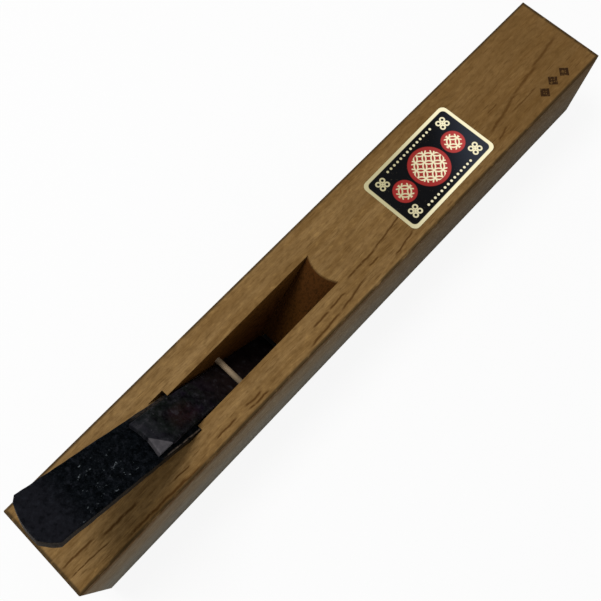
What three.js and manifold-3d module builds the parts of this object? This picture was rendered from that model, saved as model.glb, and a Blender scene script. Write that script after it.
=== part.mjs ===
// A long, narrow Japanese kanna: an oak block, a laminated wedge blade that is held by its taper alone,
// a chipbreaker wedged over it under a steel pin, and a foil label near the toe.
// Millimetres, +Z up. The origin is the middle of the sole, +X runs to the toe and +Y to the left side.
import * as THREE from 'three';
import { mergeVertices } from 'three/addons/utils/BufferGeometryUtils.js';
import Module from 'manifold-3d';

const wasm = await Module();
wasm.setup();

// Block
const blockLength = 274.6;
const blockWidth = 37.9;
const blockHeight = 39;
const longEdgeBevel = 0.3;
const endEdgeBevel = 0.3;
const struckEdgeBevel = 0.6;

// Mouth and throat
const mouthFromHeel = 108.4;
const mouthOpening = 1.3;
const wearHeight = 5.2;
const wearLean = 1.1;
const throatWidth = 15;
const throatOffset = -0.13;
const throatTopReach = 25.5;
const throatCrown = 2.3;

// Blade bed and the grooves that hold the blade's edges
const bedSlopeDegrees = 40.3;
const wedgeDegrees = 1.2;
const slotWidth = 19.75;
const slotOffset = 0.125;
const seatGap = 0.25;

// Blade, measured up its face from the sole
const bladeLength = 125.6;
const bladeWidth = 18.8;
const bladeFootWidth = 16.8;
const bladeEdgeThickness = 2.6;
const bladeBevelDegrees = 28;
const bladeEdgeHeight = 0.3;
const bladeSideBevel = 0.25;
const bladeCornerAcross = 1.6;
const bladeCornerAlong = 4.5;
const headSlant = 2.6;
const headCrown = 0.8;
const headLeftAcross = 1.7;
const headLeftAlong = 1.7;
const headRightAcross = 4.6;
const headRightAlong = 4.7;
const headRightCrown = 0.4;
const headUndercutDegrees = 21;
const bladeSetDegrees = 1.8;
const bladeSetPivot = 29;
const bladeSetOffset = 0.4;

// Hard steel that is forge-welded to the iron, and the hollow ground in it
const laminationGap = 0.04;
const bladeSteelLength = 46;
const bladeSteelThickness = 1.1;
const bladeHollowLength = 37;
const bladeHollowDepth = 0.4;
const hollowRim = 2.2;

// Chipbreaker, measured up its underside from its own edge
const chipLength = 78.3;
const chipSetback = 1;
const chipThickness = 2.2;
const chipEdgeThickness = 0.35;
const chipBevelLength = 4.6;
const chipEdgeWidth = 12.2;
const chipBodyWidth = 13;
const chipFlareLength = 20;
const chipSpreadLeft = 0.4;
const chipSpreadRight = 1.3;
const chipOffset = -0.08;
const chipSetDegrees = 0;
const chipHeadHollow = 0.3;
const chipSideBevel = 0.35;
const chipSteelLength = 24;
const chipSteelThickness = 0.8;
const chipHollowLength = 18;
const chipHollowDepth = 0.25;
const earDrop = 1.35;
const leftEarAlong = 10;
const rightEarAlong = 8;
const earMeeting = 0.6;

// Retaining pin
const pinDiameter = 2.3;
const pinFromSole = 33.3;
const pinBlindDepth = 8;
const pinHoleGap = 0.15;
const pinRecess = 0.3;

// Label
const labelLength = 47.4;
const labelWidth = 26.6;
const labelThickness = 0.2;
const labelCorner = 2.4;
const labelFromToe = 83.4;
const labelSide = -1.55;
const labelTurnDegrees = 0.6;

// How far cuts run past the faces that they open, and how finely round shapes are cut
const overrun = 6;
const throatStations = 16;
const hollowSteps = 14;
const curveSteps = 10;
const pinFacets = 24;

const radians = THREE.MathUtils.degToRad;
const heelX = -blockLength / 2;
const toeX = blockLength / 2;
const halfWidth = blockWidth / 2;
const bedSlope = radians(bedSlopeDegrees);
const wedge = radians(wedgeDegrees);
const faceSlope = bedSlope + wedge;
const mouthX = heelX + mouthFromHeel;
const faceFootX = mouthX - mouthOpening;

const oak = new THREE.MeshStandardMaterial({ color: 0x84663c, roughness: 0.62, metalness: 0 });
const forgedIron = new THREE.MeshStandardMaterial({ color: 0x14161b, roughness: 0.5, metalness: 0.7 });
const edgeSteel = new THREE.MeshStandardMaterial({ color: 0x8d9094, roughness: 0.3, metalness: 1 });
const agedIron = new THREE.MeshStandardMaterial({ color: 0x241f22, roughness: 0.55, metalness: 0.6 });
const pinSteel = new THREE.MeshStandardMaterial({ color: 0x9a8f80, roughness: 0.45, metalness: 0.8 });
const foil = new THREE.MeshStandardMaterial({ color: 0x0d0d10, roughness: 0.35, metalness: 0 });

// Booleans: a closed geometry becomes a solid, and a solid becomes a geometry again
function solid(geometry) {
  const bare = geometry.clone();
  bare.deleteAttribute('normal');
  bare.deleteAttribute('uv');
  const merged = mergeVertices(bare);
  return new wasm.Manifold(new wasm.Mesh({
    numProp: 3,
    vertProperties: new Float32Array(merged.attributes.position.array),
    triVerts: new Uint32Array(merged.index.array),
  }));
}

function geometryOf(manifold) {
  const mesh = manifold.getMesh();
  const geometry = new THREE.BufferGeometry();
  geometry.setAttribute('position', new THREE.BufferAttribute(mesh.vertProperties, mesh.numProp));
  geometry.setIndex(new THREE.BufferAttribute(mesh.triVerts, 1));
  geometry.computeVertexNormals();
  return geometry;
}

function shapeOf(points) {
  return new THREE.Shape(points.map(([x, y]) => new THREE.Vector2(x, y)));
}

// An outline in the XY plane, raised from z = low to z = high
function raised(points, low, high) {
  const geometry = new THREE.ExtrudeGeometry(shapeOf(points), { depth: high - low, bevelEnabled: false });
  return geometry.translate(0, 0, low);
}

// An outline of x and z, drawn across from y = right to y = left
function drawnAcross(points, right, left) {
  const geometry = new THREE.ExtrudeGeometry(shapeOf(points), { depth: left - right, bevelEnabled: false });
  return geometry.rotateX(Math.PI / 2).translate(0, left, 0);
}

// An outline of y and z, drawn along from x = rear to x = front
function drawnAlong(points, rear, front) {
  const geometry = new THREE.ExtrudeGeometry(shapeOf(points), { depth: front - rear, bevelEnabled: false });
  return geometry.applyMatrix4(new THREE.Matrix4().makeBasis(
    new THREE.Vector3(0, 1, 0), new THREE.Vector3(0, 0, 1), new THREE.Vector3(1, 0, 0),
  )).translate(rear, 0, 0);
}

// Points from one place to another on a shallow arc, which bows out to the right of the way by this much
function bowed(from, to, bow) {
  const start = new THREE.Vector2(...from);
  const way = new THREE.Vector2(...to).sub(start);
  const outward = new THREE.Vector2(way.y, -way.x).normalize();
  return Array.from({ length: curveSteps + 1 }, (_, step) => {
    const along = step / curveSteps;
    const out = bow * (1 - (2 * along - 1) ** 2);
    return start.clone().addScaledVector(way, along).addScaledVector(outward, out).toArray();
  });
}

// A rectangle from (x0, y0) to (x1, y1) whose corners are cut, in the order of the corners:
// low left, low right, high right, high left
function bevelledRectangle(x0, y0, x1, y1, cuts) {
  const [lowLeft, lowRight, highRight, highLeft] = cuts;
  return [
    [x0 + lowLeft, y0], [x1 - lowRight, y0], [x1, y0 + lowRight], [x1, y1 - highRight],
    [x1 - highRight, y1], [x0 + highLeft, y1], [x0, y1 - highLeft], [x0, y0 + lowLeft],
  ];
}

// A closed skin through rings of equal numbers of points, each turning anticlockwise about the way that
// they advance, with both ends capped by a fan
function lofted(rings) {
  const count = rings[0].length;
  const positions = rings.flat(2);
  const triangles = [];
  for (let ring = 0; ring < rings.length - 1; ring += 1) {
    for (let k = 0; k < count; k += 1) {
      const a = ring * count + k;
      const b = ring * count + ((k + 1) % count);
      triangles.push(a, b, b + count, a, b + count, a + count);
    }
  }
  const last = (rings.length - 1) * count;
  for (let k = 1; k < count - 1; k += 1) {
    triangles.push(0, k + 1, k, last, last + k, last + k + 1);
  }
  const geometry = new THREE.BufferGeometry();
  geometry.setAttribute('position', new THREE.Float32BufferAttribute(positions, 3));
  geometry.setIndex(triangles);
  return geometry;
}

// A point of the blade's frame in the block's x and z: down is measured down the blade's face from where
// it meets the sole, and out is square to the face, towards the throat
function onBladeFrame(down, out) {
  return [
    faceFootX + down * Math.cos(faceSlope) + out * Math.sin(faceSlope),
    -down * Math.sin(faceSlope) + out * Math.cos(faceSlope),
  ];
}

// The blade's back, as a depth behind its face, at a place down the face
const bladeEdgeDown = -bladeEdgeHeight / Math.sin(faceSlope);
function bladeBack(down) {
  return -(bladeEdgeThickness + (bladeEdgeDown - down) * Math.tan(wedge));
}

// The block's outside: its three outlines are crossed, so every edge gets its bevel
function blockBody() {
  const side = bevelledRectangle(heelX, 0, toeX, blockHeight,
    [endEdgeBevel, endEdgeBevel, endEdgeBevel, struckEdgeBevel]);
  const end = bevelledRectangle(-halfWidth, 0, halfWidth, blockHeight,
    [longEdgeBevel, longEdgeBevel, longEdgeBevel, longEdgeBevel]);
  const plan = bevelledRectangle(heelX, -halfWidth, toeX, halfWidth,
    [endEdgeBevel, endEdgeBevel, endEdgeBevel, endEdgeBevel]);
  return solid(drawnAcross(side, -halfWidth, halfWidth))
    .intersect(solid(drawnAlong(end, heelX, toeX)))
    .intersect(solid(raised(plan, 0, blockHeight)));
}

// The sloping slot that the blade is driven into: the bed behind it, a groove at each of its edges and
// the grooves' front walls, which press on its face
function bladeSlot() {
  const foot = overrun;
  const top = -(blockHeight + overrun) / Math.sin(bedSlope);
  const behind = seatGap / Math.cos(wedge);
  const outline = [
    onBladeFrame(foot, bladeBack(foot) - behind),
    onBladeFrame(foot, seatGap),
    onBladeFrame(top, seatGap),
    onBladeFrame(top, bladeBack(top) - behind),
  ];
  return solid(drawnAcross(outline, slotOffset - slotWidth / 2, slotOffset + slotWidth / 2));
}

// The x of the middle of the slot at a height, to which the throat and the mouth are cut back
function slotMiddleX(height) {
  return faceFootX - height / Math.tan(faceSlope) + bladeBack(0) / 2 / Math.sin(faceSlope);
}

// The throat in front of the blade, drawn as sections from cheek to cheek. The long front wall is flat
// at its foot and swells towards the blade at its top, so its edge on the block's top face is an arc.
const wearX = mouthX - wearLean;
function throat() {
  const top = blockHeight + overrun;
  const rings = [];
  for (let station = 0; station <= throatStations; station += 1) {
    const across = (2 * station) / throatStations - 1;
    const y = throatOffset + (across * throatWidth) / 2;
    const rimX = mouthX + throatTopReach - throatCrown * (1 - across * across);
    const run = (rimX - wearX) / (blockHeight - wearHeight);
    rings.push([
      [slotMiddleX(top), y, top],
      [rimX + run * overrun, y, top],
      [wearX, y, wearHeight],
      [slotMiddleX(wearHeight), y, wearHeight],
    ]);
  }
  return solid(lofted(rings));
}

// The mouth through the sole, with the short steep wear wall in front of the edge
function mouth() {
  const insideThroat = 2 * wearHeight;
  const outline = [
    [slotMiddleX(0), -overrun],
    [mouthX + (wearLean * overrun) / wearHeight, -overrun],
    [wearX, wearHeight],
    [wearX, insideThroat],
    [slotMiddleX(insideThroat), insideThroat],
    [slotMiddleX(0), 0],
  ];
  return solid(drawnAcross(outline, throatOffset - throatWidth / 2, throatOffset + throatWidth / 2));
}

// Where the pin's axis lies: over the chipbreaker, just clear of its upper face
const chipEdgeDown = bladeEdgeDown - chipSetback;
const chipLift = Math.atan2(earDrop, chipLength);
const pinRadius = pinDiameter / 2;
const pinUpChip = pinFromSole + chipEdgeDown;
const chipTopAtPin = seatGap + pinUpChip * Math.tan(chipLift) + chipThickness / Math.cos(chipLift);
const pinOut = chipTopAtPin + seatGap + pinRadius;
const [pinX, pinZ] = onBladeFrame(-pinFromSole, pinOut);
const pinRightEnd = throatOffset - throatWidth / 2 - pinBlindDepth;
const pinLeftEnd = halfWidth - pinRecess;

// A round rod on the pin's axis
function rodAcross(radius, right, left) {
  const rod = new THREE.CylinderGeometry(radius, radius, left - right, pinFacets);
  return rod.translate(pinX, (left + right) / 2, pinZ);
}

function block() {
  const pinHole = solid(rodAcross(pinRadius + pinHoleGap, pinRightEnd - pinHoleGap, halfWidth + overrun));
  return blockBody().subtract(bladeSlot()).subtract(throat()).subtract(mouth()).subtract(pinHole);
}

// A shallow dish cut in a face at z = 0, centred on (x, 0). It is deep and nearly flat in the middle
// and runs out smoothly at its rim, where the cut starts just clear of the face.
function dish(x, length, width, depth, facing) {
  const clear = depth / hollowSteps;
  const rings = [];
  for (let i = 0; i <= hollowSteps; i += 1) {
    const u = (2 * i) / hollowSteps - 1;
    const stationX = x + (u * length) / 2;
    const ring = [];
    for (let j = 0; j <= hollowSteps; j += 1) {
      const v = (2 * j) / hollowSteps - 1;
      const sunk = (1 - u ** 4) * (1 - v ** 4);
      ring.push([stationX, (v * width) / 2, facing * (depth * sunk - clear)]);
    }
    ring.push([stationX, width / 2, -facing * depth]);
    ring.push([stationX, -width / 2, -facing * depth]);
    rings.push(facing > 0 ? ring.reverse() : ring);
  }
  return solid(lofted(rings));
}

// Blade outline, in the plane of its face, from past the cutting edge round the struck head. x runs
// down the face and y to the left. The blade narrows evenly from its head to its ground corners, and
// years of hammering have left the head lower on the left and rounded on the right.
const bladeHeadX = bladeEdgeDown - bladeLength;
function bladeOutline() {
  const half = bladeWidth / 2;
  const footHalf = bladeFootWidth / 2;
  const cornerX = bladeEdgeDown - bladeCornerAlong;
  const pastEdgeY = footHalf - (bladeCornerAcross * (bladeCornerAlong + overrun)) / bladeCornerAlong;
  const leftX = bladeHeadX + headSlant;
  const crownLeft = [leftX, half - headLeftAcross];
  const crownRight = [bladeHeadX, headRightAcross - half];
  const rightFoot = [bladeHeadX + headRightAlong, -half];
  return [
    [bladeEdgeDown + overrun, pastEdgeY],
    [cornerX, footHalf],
    [leftX + headLeftAlong, half],
    ...bowed(crownLeft, crownRight, headCrown),
    ...bowed(crownRight, rightFoot, headRightCrown).slice(1),
    [cornerX, -footHalf],
    [bladeEdgeDown + overrun, -pastEdgeY],
  ];
}

// A plate with its upper side edges bevelled, its upper face at z = 0
function bevelledPlate(points, depth, bevel) {
  const geometry = new THREE.ExtrudeGeometry(shapeOf(points), {
    depth, bevelThickness: bevel, bevelSize: bevel, bevelOffset: -bevel, bevelSegments: 1,
  });
  return geometry.translate(0, 0, -depth - bevel);
}

// The whole blade before it is parted into its two metals: the outline crossed with the long wedge
// section, which ends in the cutting bevel. The head's end leans in under the face.
function bladeBlank() {
  const head = bladeHeadX - overrun;
  const deepest = bladeBack(head);
  const bevelRun = bladeEdgeThickness / Math.tan(radians(bladeBevelDegrees));
  const bevelTop = bladeEdgeDown - bevelRun;
  const section = [
    [bladeEdgeDown, 0], [bladeEdgeDown, overrun], [head, overrun], [head, bladeBack(head)],
    [bevelTop, bladeBack(bevelTop)],
  ];
  const undercut = new THREE.Matrix4().makeShear(0, 0, 0, 0, -Math.tan(radians(headUndercutDegrees)), 0);
  const plate = bevelledPlate(bladeOutline(), overrun - deepest, bladeSideBevel).applyMatrix4(undercut);
  return solid(plate).intersect(solid(drawnAcross(section, -bladeWidth, bladeWidth)));
}

// Where the hard steel lies in an iron: a layer at its face, which is up with facing 1 and down with -1,
// over the part next to its edge
function steelLayer(edge, length, thickness, clearance, facing) {
  const rear = edge - length - clearance;
  const front = edge + overrun;
  const deep = -facing * (thickness + clearance);
  const shallow = facing * overrun;
  const layer = new THREE.BoxGeometry(front - rear, bladeWidth + overrun, Math.abs(shallow - deep));
  return solid(layer.translate((front + rear) / 2, 0, (shallow + deep) / 2));
}

function bladeIron() {
  return bladeBlank().subtract(
    steelLayer(bladeEdgeDown, bladeSteelLength, bladeSteelThickness, laminationGap, 1),
  );
}

function bladeSteel() {
  const hollowMiddle = bladeEdgeDown - hollowRim - bladeHollowLength / 2;
  const layer = steelLayer(bladeEdgeDown, bladeSteelLength, bladeSteelThickness, 0, 1);
  return bladeBlank().intersect(layer).subtract(
    dish(hollowMiddle, bladeHollowLength, bladeFootWidth - 2 * hollowRim, bladeHollowDepth, -1),
  );
}

// Chipbreaker outline, with x = 0 at its edge. It is nearly parallel, and its hammered head spreads a
// little, more to the right, and dips between its two ears.
const chipHeadX = -chipLength;
const chipFlareX = chipFlareLength - chipLength;
const chipHeadLeft = chipBodyWidth / 2 + chipSpreadLeft;
const chipHeadRight = -chipBodyWidth / 2 - chipSpreadRight;
function chipOutline() {
  return [
    [overrun, chipEdgeWidth / 2], [chipFlareX, chipBodyWidth / 2],
    ...bowed([chipHeadX, chipHeadLeft], [chipHeadX, chipHeadRight], -chipHeadHollow),
    [chipFlareX, -chipBodyWidth / 2], [overrun, -chipEdgeWidth / 2],
  ];
}

// One ear: the head's corner is cut off along its bend line and put back turned down about that line,
// on the upper face, until its tip has dropped to the blade. side is 1 on the left and -1 on the right.
function withEar(plate, side, tipY, along) {
  const middle = new THREE.Vector3(chipHeadX + chipHeadHollow, side * earMeeting, chipThickness);
  const flank = new THREE.Vector3(chipHeadX + along, tipY, chipThickness);
  const axis = flank.clone().sub(middle).normalize();
  const tip = new THREE.Vector3(chipHeadX, tipY, chipThickness);
  const reach = tip.clone().sub(middle).cross(axis).length();
  const turn = -side * Math.asin(earDrop / reach);
  const outward = new THREE.Vector3(-side * axis.y, side * axis.x, 0);
  const far = chipLength;
  const corners = [
    middle.clone().addScaledVector(axis, -far),
    middle.clone().addScaledVector(axis, far),
    middle.clone().addScaledVector(axis, far).addScaledVector(outward, far),
    middle.clone().addScaledVector(axis, -far).addScaledVector(outward, far),
  ].map((point) => [point.x, point.y]);
  const beyondBend = solid(raised(corners, -overrun, chipThickness + overrun));
  const bend = new THREE.Matrix4().makeTranslation(middle.x, middle.y, middle.z)
    .multiply(new THREE.Matrix4().makeRotationAxis(axis, turn))
    .multiply(new THREE.Matrix4().makeTranslation(-middle.x, -middle.y, -middle.z));
  const ear = geometryOf(plate.intersect(beyondBend)).applyMatrix4(bend);
  return plate.subtract(beyondBend).add(solid(ear));
}

function chipBlank() {
  const section = [
    [0, 0], [0, chipEdgeThickness], [-chipBevelLength, chipThickness], [chipHeadX - overrun, chipThickness],
    [chipHeadX - overrun, 0],
  ];
  const plate = bevelledPlate(chipOutline(), chipThickness + overrun, chipSideBevel);
  plate.translate(0, 0, chipThickness);
  const straight = solid(plate).intersect(solid(drawnAcross(section, -bladeWidth, bladeWidth)));
  return withEar(withEar(straight, 1, chipHeadLeft, leftEarAlong), -1, chipHeadRight, rightEarAlong);
}

function chipIron() {
  return chipBlank().subtract(steelLayer(0, chipSteelLength, chipSteelThickness, laminationGap, -1));
}

function chipSteel() {
  const layer = steelLayer(0, chipSteelLength, chipSteelThickness, 0, -1);
  const hollowMiddle = -hollowRim - chipHollowLength / 2;
  return chipBlank().intersect(layer).subtract(
    dish(hollowMiddle, chipHollowLength, chipEdgeWidth - 2 * hollowRim, chipHollowDepth, 1),
  );
}

// A flat label with round corners, centred on the origin
function label() {
  const shape = new THREE.Shape();
  const x = labelLength / 2;
  const y = labelWidth / 2;
  const centres = [[x - labelCorner, y - labelCorner], [labelCorner - x, y - labelCorner],
    [labelCorner - x, labelCorner - y], [x - labelCorner, labelCorner - y]];
  centres.forEach(([centreX, centreY], quarter) => {
    const start = (quarter * Math.PI) / 2;
    shape.absarc(centreX, centreY, labelCorner, start, start + Math.PI / 2, false);
  });
  return new THREE.ExtrudeGeometry(shape, {
    depth: labelThickness, bevelEnabled: false, curveSegments: curveSteps,
  });
}

function piece(name, geometry, material) {
  const mesh = new THREE.Mesh(geometry, material);
  mesh.name = name;
  return mesh;
}

const kanna = new THREE.Group();
kanna.add(piece('block', geometryOf(block()), oak));
kanna.add(piece('retaining_pin', rodAcross(pinRadius, pinRightEnd, pinLeftEnd), pinSteel));

const labelMesh = piece('label', label(), foil);
labelMesh.position.set(toeX - labelFromToe, labelSide, blockHeight);
labelMesh.rotation.z = radians(labelTurnDegrees);
kanna.add(labelMesh);

// The blade leans back on its bed, and stands a little askew in its slot, as it was last tapped
const seat = new THREE.Group();
seat.position.x = faceFootX;
seat.rotation.y = faceSlope;
kanna.add(seat);

const sideSet = new THREE.Group();
sideSet.position.set(-bladeSetPivot, bladeSetOffset, 0);
sideSet.rotation.z = radians(bladeSetDegrees);
seat.add(sideSet);

const bladeFrame = new THREE.Group();
bladeFrame.position.x = bladeSetPivot;
bladeFrame.add(piece('blade_body', geometryOf(bladeIron()), forgedIron));
bladeFrame.add(piece('blade_steel', geometryOf(bladeSteel()), edgeSteel));
sideSet.add(bladeFrame);

// The chipbreaker touches the blade with its edge and its ears, so its head is lifted by the ears'
// drop. It stands a little askew on the blade too.
const chipFrame = new THREE.Group();
chipFrame.position.set(chipEdgeDown, chipOffset, seatGap);
chipFrame.rotation.order = 'ZYX';
chipFrame.rotation.set(0, chipLift, radians(chipSetDegrees));
chipFrame.add(piece('chipbreaker_body', geometryOf(chipIron()), agedIron));
chipFrame.add(piece('chipbreaker_steel', geometryOf(chipSteel()), edgeSteel));
bladeFrame.add(chipFrame);

export default kanna;
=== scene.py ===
import math

import bpy
from mathutils import Matrix, Vector


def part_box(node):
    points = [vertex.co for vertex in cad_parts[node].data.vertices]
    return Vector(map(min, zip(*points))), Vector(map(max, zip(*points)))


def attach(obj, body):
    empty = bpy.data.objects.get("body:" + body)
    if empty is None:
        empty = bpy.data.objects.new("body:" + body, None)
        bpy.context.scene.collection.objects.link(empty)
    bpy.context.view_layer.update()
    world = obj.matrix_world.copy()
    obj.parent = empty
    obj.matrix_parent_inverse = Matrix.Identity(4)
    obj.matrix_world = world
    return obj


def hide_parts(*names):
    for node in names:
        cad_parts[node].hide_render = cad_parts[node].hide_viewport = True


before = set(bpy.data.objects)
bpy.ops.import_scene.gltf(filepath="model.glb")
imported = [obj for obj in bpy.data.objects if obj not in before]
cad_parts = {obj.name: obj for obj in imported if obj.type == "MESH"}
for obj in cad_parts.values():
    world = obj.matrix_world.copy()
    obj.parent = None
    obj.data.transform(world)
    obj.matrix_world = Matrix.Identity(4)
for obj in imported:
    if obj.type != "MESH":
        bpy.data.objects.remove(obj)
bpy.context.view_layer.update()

# The camera
# It looks steeply down on the plane from above the right side of its heel, so the block runs from
# the lower left corner of the picture to the upper right one.
eye = Vector((-0.073569, -0.059813, 0.286531))
picture_right = Vector((0.686024, -0.727442, -0.014073))
picture_down = Vector((-0.695367, -0.649838, -0.306880))
looking = Vector((0.214093, 0.220313, -0.951644))
sensor_width = 36
lens_length = 43.776
nearest_seen = 0.01

camera_data = bpy.data.cameras.new("photo_camera")
camera_data.sensor_width = sensor_width
camera_data.lens = lens_length
camera_data.clip_start = nearest_seen
camera = bpy.data.objects.new("photo_camera", camera_data)
bpy.context.scene.collection.objects.link(camera)
turned = Matrix((picture_right, -picture_down, -looking)).transposed()
camera.matrix_world = Matrix.Translation(eye) @ turned.to_4x4()
bpy.context.scene.camera = camera
bpy.context.scene.view_settings.view_transform = "Standard"


# The white table and the light
# The plane lies on a white table under one broad soft lamp above its left side, in a pale room. The
# table is cut away under the block and is clear from below, so that the sole can be seen. A strip of
# it stays under the mouth, painted near black as painted shade, so that nothing glows up through the
# throat.
table_size = 8
table_drop = 0.0001
cut_away = (0.137, 0.0187)
strip_middle_x = -0.0295
strip_half = (0.0013, 0.0103)
white = (1, 1, 1, 1)
table_grey = (0.8, 0.8, 0.8, 1)
painted_shade_strip_grey = (0.03, 0.03, 0.03, 1)
shadow_kept = 0.1
whitening = (0.4, 1.6)
room_strength = 0.42
lamp_energy = 4.6
lamp_size = 0.36
lamp_place = Vector((-0.13, 0.27, 0.79))


def seen_directly(tree):
    """How far a ray belongs to the camera or to a reflection, from 0 to 1."""
    path = tree.nodes.new("ShaderNodeLightPath")
    seen = tree.nodes.new("ShaderNodeMath")
    seen.operation = "MAXIMUM"
    tree.links.new(path.outputs["Is Camera Ray"], seen.inputs[0])
    shiny = tree.nodes.new("ShaderNodeMath")
    shiny.operation = "MAXIMUM"
    tree.links.new(path.outputs["Is Glossy Ray"], shiny.inputs[0])
    tree.links.new(path.outputs["Is Transmission Ray"], shiny.inputs[1])
    tree.links.new(shiny.outputs[0], seen.inputs[1])
    return seen.outputs[0]


def clear_from_below(name, grey, glow, glow_far_off):
    """A matt surface, partly white to the camera and more so far off, and clear from below."""
    surface = bpy.data.materials.new(name)
    surface.use_nodes = True
    tree = surface.node_tree
    tree.nodes.clear()
    matt = tree.nodes.new("ShaderNodeBsdfDiffuse")
    matt.inputs["Color"].default_value = grey
    away = tree.nodes.new("ShaderNodeVectorMath")
    away.operation = "LENGTH"
    tree.links.new(tree.nodes.new("ShaderNodeTexCoord").outputs["Object"], away.inputs[0])
    whiter = tree.nodes.new("ShaderNodeMapRange")
    tree.links.new(away.outputs["Value"], whiter.inputs["Value"])
    ends = ("From Min", "From Max", "To Min", "To Max")
    for end, value in zip(ends, (*whitening, glow, glow_far_off)):
        whiter.inputs[end].default_value = value
    share = tree.nodes.new("ShaderNodeMath")
    share.operation = "MULTIPLY"
    tree.links.new(whiter.outputs[0], share.inputs[1])
    tree.links.new(seen_directly(tree), share.inputs[0])
    lit = tree.nodes.new("ShaderNodeMixShader")
    tree.links.new(share.outputs[0], lit.inputs[0])
    tree.links.new(matt.outputs[0], lit.inputs[1])
    tree.links.new(tree.nodes.new("ShaderNodeEmission").outputs[0], lit.inputs[2])
    sided = tree.nodes.new("ShaderNodeMixShader")
    tree.links.new(tree.nodes.new("ShaderNodeNewGeometry").outputs["Backfacing"], sided.inputs[0])
    tree.links.new(lit.outputs[0], sided.inputs[1])
    tree.links.new(tree.nodes.new("ShaderNodeBsdfTransparent").outputs[0], sided.inputs[2])
    output = tree.nodes.new("ShaderNodeOutputMaterial")
    tree.links.new(sided.outputs[0], output.inputs["Surface"])
    return surface


def lies_within(place, middle_x, half):
    """Whether a place on the table lies within a rectangle whose middle is on the plane's line."""
    return abs(place[0] - middle_x) < half[0] and abs(place[1]) < half[1]


bpy.ops.mesh.primitive_plane_add(size=table_size, location=(0, 0, -table_drop))
table = bpy.context.object
table.name = "white_table"
table.data.materials.append(clear_from_below("table_white", table_grey, 1 - shadow_kept, 1))
# Painted shade: the strip under the mouth is near black instead of lit white table.
table.data.materials.append(clear_from_below("painted_shade_under_mouth", painted_shade_strip_grey, 0, 0))
bpy.context.tool_settings.mesh_select_mode = (False, False, True)
bpy.ops.object.mode_set(mode="EDIT")
for middle_x, half in ((0, cut_away), (strip_middle_x, strip_half)):
    for side in (-1, 1):
        across_line = ((middle_x + side * half[0], 0, 0), (1, 0, 0))
        along_line = ((0, side * half[1], 0), (0, 1, 0))
        for corner, normal in (across_line, along_line):
            bpy.ops.mesh.select_all(action="SELECT")
            bpy.ops.mesh.bisect(plane_co=corner, plane_no=normal)
bpy.ops.mesh.select_all(action="DESELECT")
bpy.ops.object.mode_set(mode="OBJECT")
for face in table.data.polygons:
    under_mouth = lies_within(face.center, strip_middle_x, strip_half)
    face.material_index = int(under_mouth)
    face.select = lies_within(face.center, 0, cut_away) and not under_mouth
bpy.ops.object.mode_set(mode="EDIT")
bpy.ops.mesh.delete(type="FACE")
bpy.ops.object.mode_set(mode="OBJECT")

room = bpy.data.worlds.new("pale_room")
bpy.context.scene.world = room
room.use_nodes = True
tree = room.node_tree
tree.nodes.clear()
fill = tree.nodes.new("ShaderNodeBackground")
fill.inputs["Color"].default_value = white
fill.inputs["Strength"].default_value = room_strength
backdrop = tree.nodes.new("ShaderNodeBackground")
backdrop.inputs["Color"].default_value = white
mixed = tree.nodes.new("ShaderNodeMixShader")
tree.links.new(seen_directly(tree), mixed.inputs[0])
tree.links.new(fill.outputs[0], mixed.inputs[1])
tree.links.new(backdrop.outputs[0], mixed.inputs[2])
output = tree.nodes.new("ShaderNodeOutputWorld")
tree.links.new(mixed.outputs[0], output.inputs["Surface"])

lamp_data = bpy.data.lights.new("soft_lamp", "AREA")
lamp_data.shape = "DISK"
lamp_data.size = lamp_size
lamp_data.energy = lamp_energy
lamp = bpy.data.objects.new("soft_lamp", lamp_data)
bpy.context.scene.collection.objects.link(lamp)
lamp.location = lamp_place
lamp.rotation_mode = "QUATERNION"
lamp.rotation_quaternion = (-lamp_place).to_track_quat("-Z", "Y")


# The block (dai)
# One piece of Japanese white oak, planed square, with the blade's bed, its two grooves and the
# throat cut in from above. It is brown and oiled on top, greyed on its sides, and dark inside, partly
# with shavings' dust and partly with painted shade. Three small marks are burnt into the top at the
# toe.
def dye(code):
    """A colour written as a web code, in the linear numbers that shaders use."""
    channels = [int(code[k:k + 2], 16) / 255 for k in (0, 2, 4)]
    return (*[c / 12.92 if c <= 0.04045 else ((c + 0.055) / 1.055) ** 2.4 for c in channels], 1)


def lay(tree, kind, feeds=None, **settings):
    """Lays one node in a material. feeds gives its inputs a number, a colour or another output."""
    node = tree.nodes.new(kind)
    for name, value in settings.items():
        setattr(node, name, value)
    for socket, value in (feeds or {}).items():
        if isinstance(value, bpy.types.NodeSocket):
            tree.links.new(value, node.inputs[socket])
        else:
            node.inputs[socket].default_value = value
    return node


def reckon(tree, operation, *values):
    """One step of arithmetic between numbers."""
    return lay(tree, "ShaderNodeMath", dict(enumerate(values)), operation=operation).outputs[0]


def product(tree, value, *others):
    """Numbers or masks multiplied with each other."""
    for other in others:
        value = reckon(tree, "MULTIPLY", value, other)
    return value


def size_of(tree, value):
    """A number without its sign."""
    return reckon(tree, "ABSOLUTE", value)


def stretched(tree, place, scale, moved=(0, 0, 0)):
    """A place in the wood or metal, stretched and moved, so that a pattern follows the grain."""
    return lay(tree, "ShaderNodeVectorMath", {0: place, 1: scale, 2: moved},
               operation="MULTIPLY_ADD").outputs[0]


def fade(tree, value, none, full):
    """A soft mask, 0 where the value is at none and 1 where it is at full."""
    feeds = {"Value": value, "From Min": none, "From Max": full}
    return lay(tree, "ShaderNodeMapRange", feeds, interpolation_type="SMOOTHSTEP").outputs[0]


def cloudy(tree, place, scale=1, detail=3, roughness=0.55):
    """Soft uneven patches, from 0 to 1."""
    feeds = {"Vector": place, "Scale": scale, "Detail": detail, "Roughness": roughness}
    return lay(tree, "ShaderNodeTexNoise", feeds).outputs["Fac"]


def over(tree, mask, below, above):
    """Puts one colour over another where the mask is 1."""
    return lay(tree, "ShaderNodeMix", {0: mask, 6: below, 7: above}, data_type="RGBA").outputs[2]


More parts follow.
